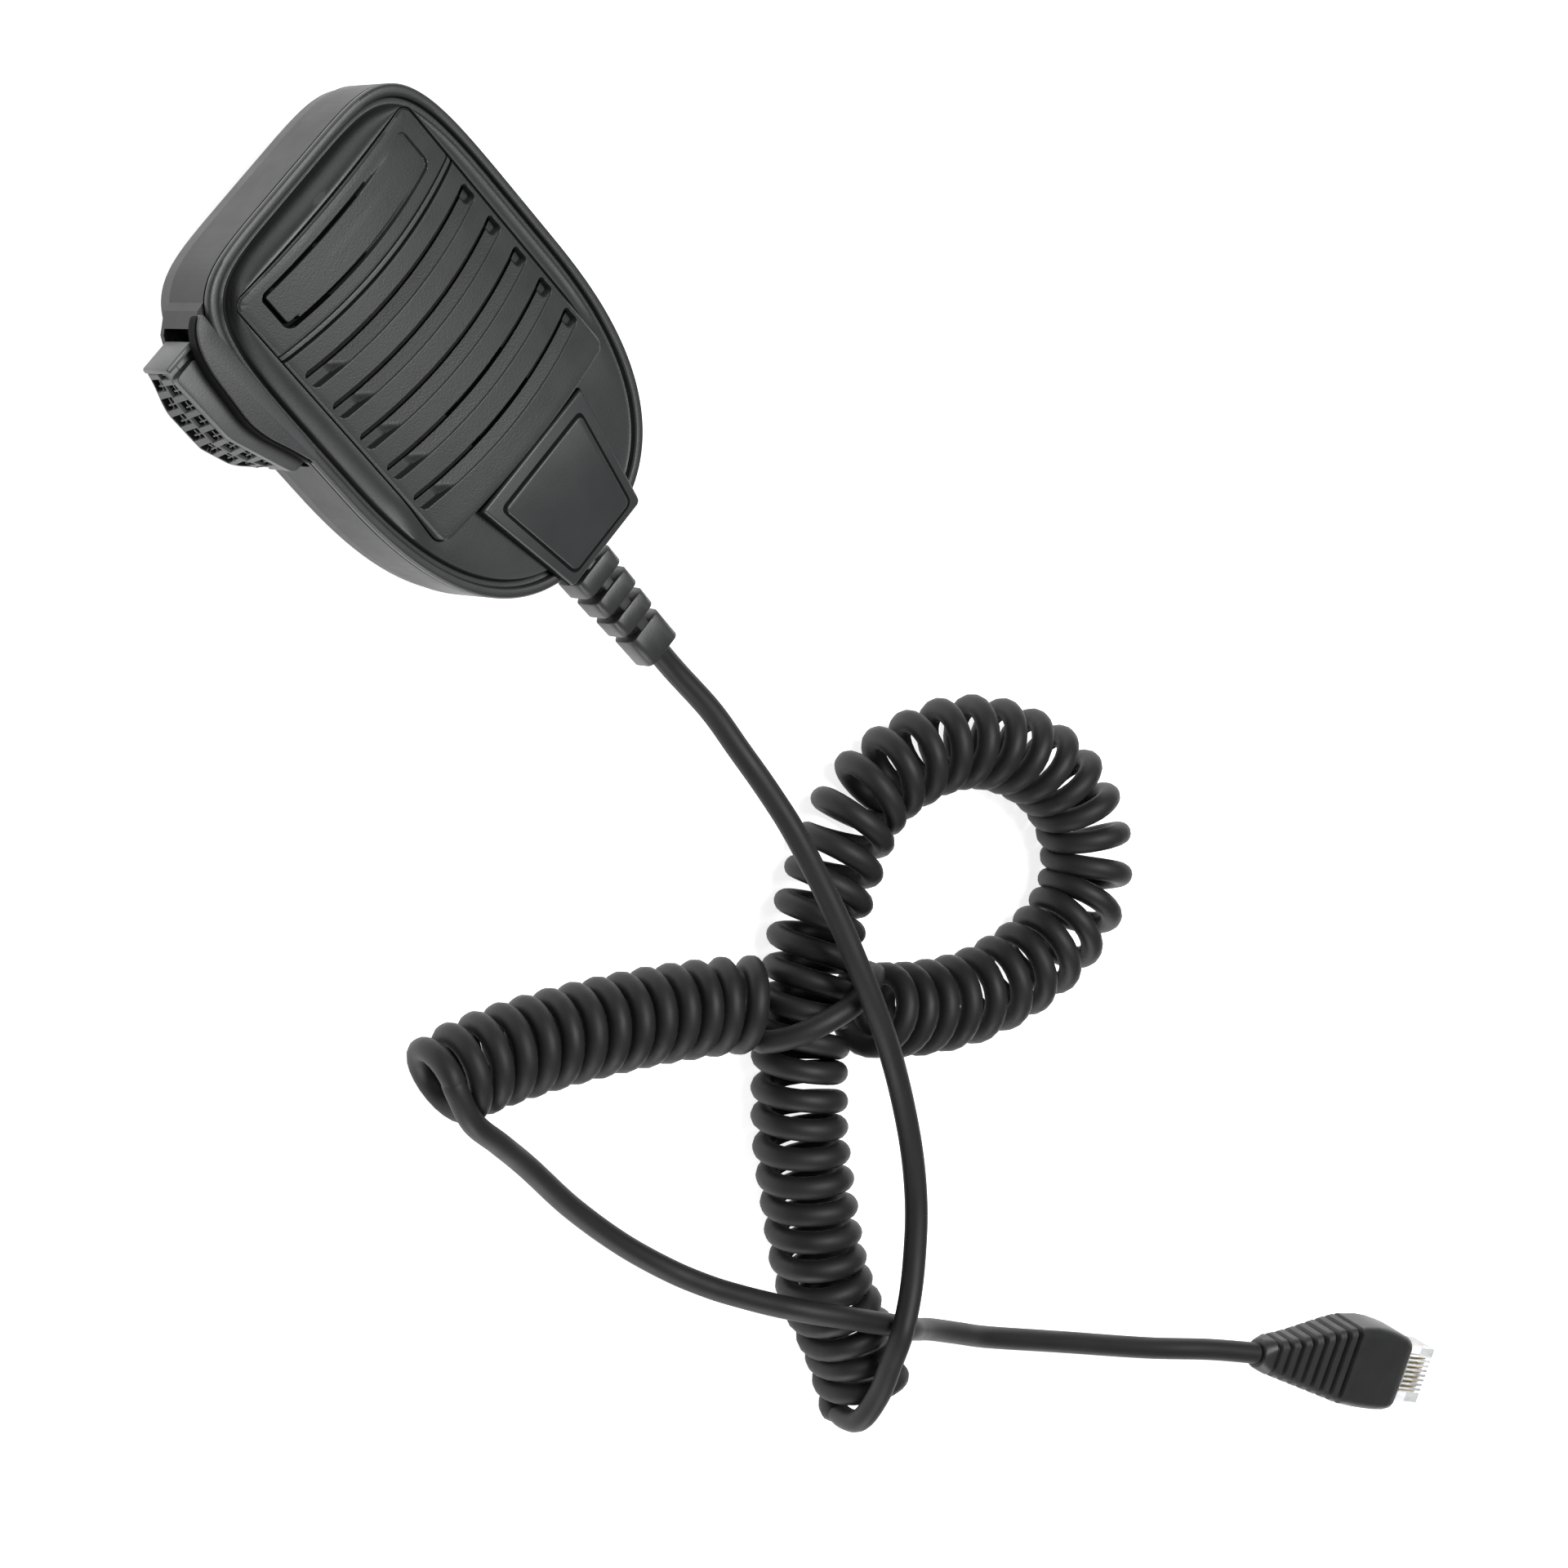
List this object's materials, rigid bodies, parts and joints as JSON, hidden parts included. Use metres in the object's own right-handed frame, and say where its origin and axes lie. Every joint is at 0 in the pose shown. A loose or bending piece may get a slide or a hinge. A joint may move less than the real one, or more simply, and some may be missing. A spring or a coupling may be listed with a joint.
{
  "type": "hand microphone",
  "caption": "Palm-sized two-way radio hand microphone with slotted grille, side push-to-talk lever, rear hanger stud, curly cord and modular plug.",
  "frame": {"origin": "centre of the hanger stud's end face, behind the case", "axes": "+Z out of the grille, +Y towards the top end away from the cord, +X to the right seen from the front; the push-to-talk lever is on -X"},
  "size_m": [0.1398, 0.3625, 0.0299],
  "materials": {
    "case_plastic": "fine satin texture",
    "dark_plastic": "fine matt texture",
    "nose_plastic": "smooth satin",
    "lever_plastic": "satin",
    "pad_rubber": "moulded bumps",
    "soft_rubber": "matt",
    "cord_jacket": "semi-gloss",
    "steel": "bright zinc",
    "stud_metal": "nickel plated",
    "contact_brass": "gold plated",
    "wire_copper": "coloured insulation",
    "capsule_can": "drawn can",
    "cloth": "open weave",
    "board_green": "solder mask",
    "chip_black": "moulded epoxy",
    "connector_white": "nylon",
    "clear_plastic": "clear polycarbonate"
  },
  "bodies": {
    "case": {"front_shell": "case_plastic", "grille_panel": "case_plastic", "label_plate": "nose_plastic", "nose_plate": "nose_plastic", "centre_band": "dark_plastic", "rear_cover": "dark_plastic", "case_gasket": "soft_rubber", "case_screws": "steel", "hanger_stud": "stud_metal", "hanger_screw": "steel", "hanger_terminal": "contact_brass", "acoustic_cloth": "cloth", "capsule_boot": "soft_rubber", "microphone_capsule": "capsule_can", "capsule_leads": "contact_brass", "circuit_board": "board_green", "board_screws": "steel", "board_chips": "chip_black", "filter_capacitors": "capsule_can", "cord_header": "connector_white", "harness_plug": "connector_white", "wire_harness": "wire_copper", "ptt_switch_body": "chip_black", "ptt_hinge_pin": "steel", "ptt_return_spring": "steel", "cord_clamp": "chip_black", "clamp_screws": "steel", "strain_relief": "soft_rubber", "cord_tail": "cord_jacket", "cord_lead_mic": "cord_jacket", "coil_main": "cord_jacket", "coil_bridge": "cord_jacket", "coil_end": "cord_jacket", "cord_lead_plug": "cord_jacket", "plug_boot": "soft_rubber", "plug_cord_tail": "cord_jacket", "plug_body": "clear_plastic", "plug_contacts": "contact_brass", "plug_conductors": "wire_copper"},
    "lever": {"ptt_lever": "lever_plastic", "ptt_grip_pad": "pad_rubber"},
    "plunger": {"ptt_switch_plunger": "connector_white"},
    "latch": {"plug_latch": "clear_plastic"}
  },
  "joints": [
    {"name": "ptt_press", "type": "hinge", "parent": "case", "child": "lever", "pos_m": [-0.0287, 0.012, 0.01825], "axis": [0, 0, -1], "range_deg": [0, 5], "stiffness_Nm_per_rad": 0.5, "deforming": ["ptt_return_spring"]},
    {"name": "ptt_switch_press", "type": "slide", "parent": "case", "child": "plunger", "axis": [1, 0, 0], "range_m": [0, 0.0009]},
    {"name": "plug_latch_flex", "type": "hinge", "parent": "case", "child": "latch", "pos_m": [0.02439, -0.31543, 0.00449], "axis": [0.8279, 0.5174, 0.2164], "range_deg": [0, 11], "stiffness_Nm_per_rad": 0.05}
  ],
  "couplings": [
    {"joint": "ptt_switch_press", "follows": "ptt_press", "m_per_rad": 0.01}
  ]
}
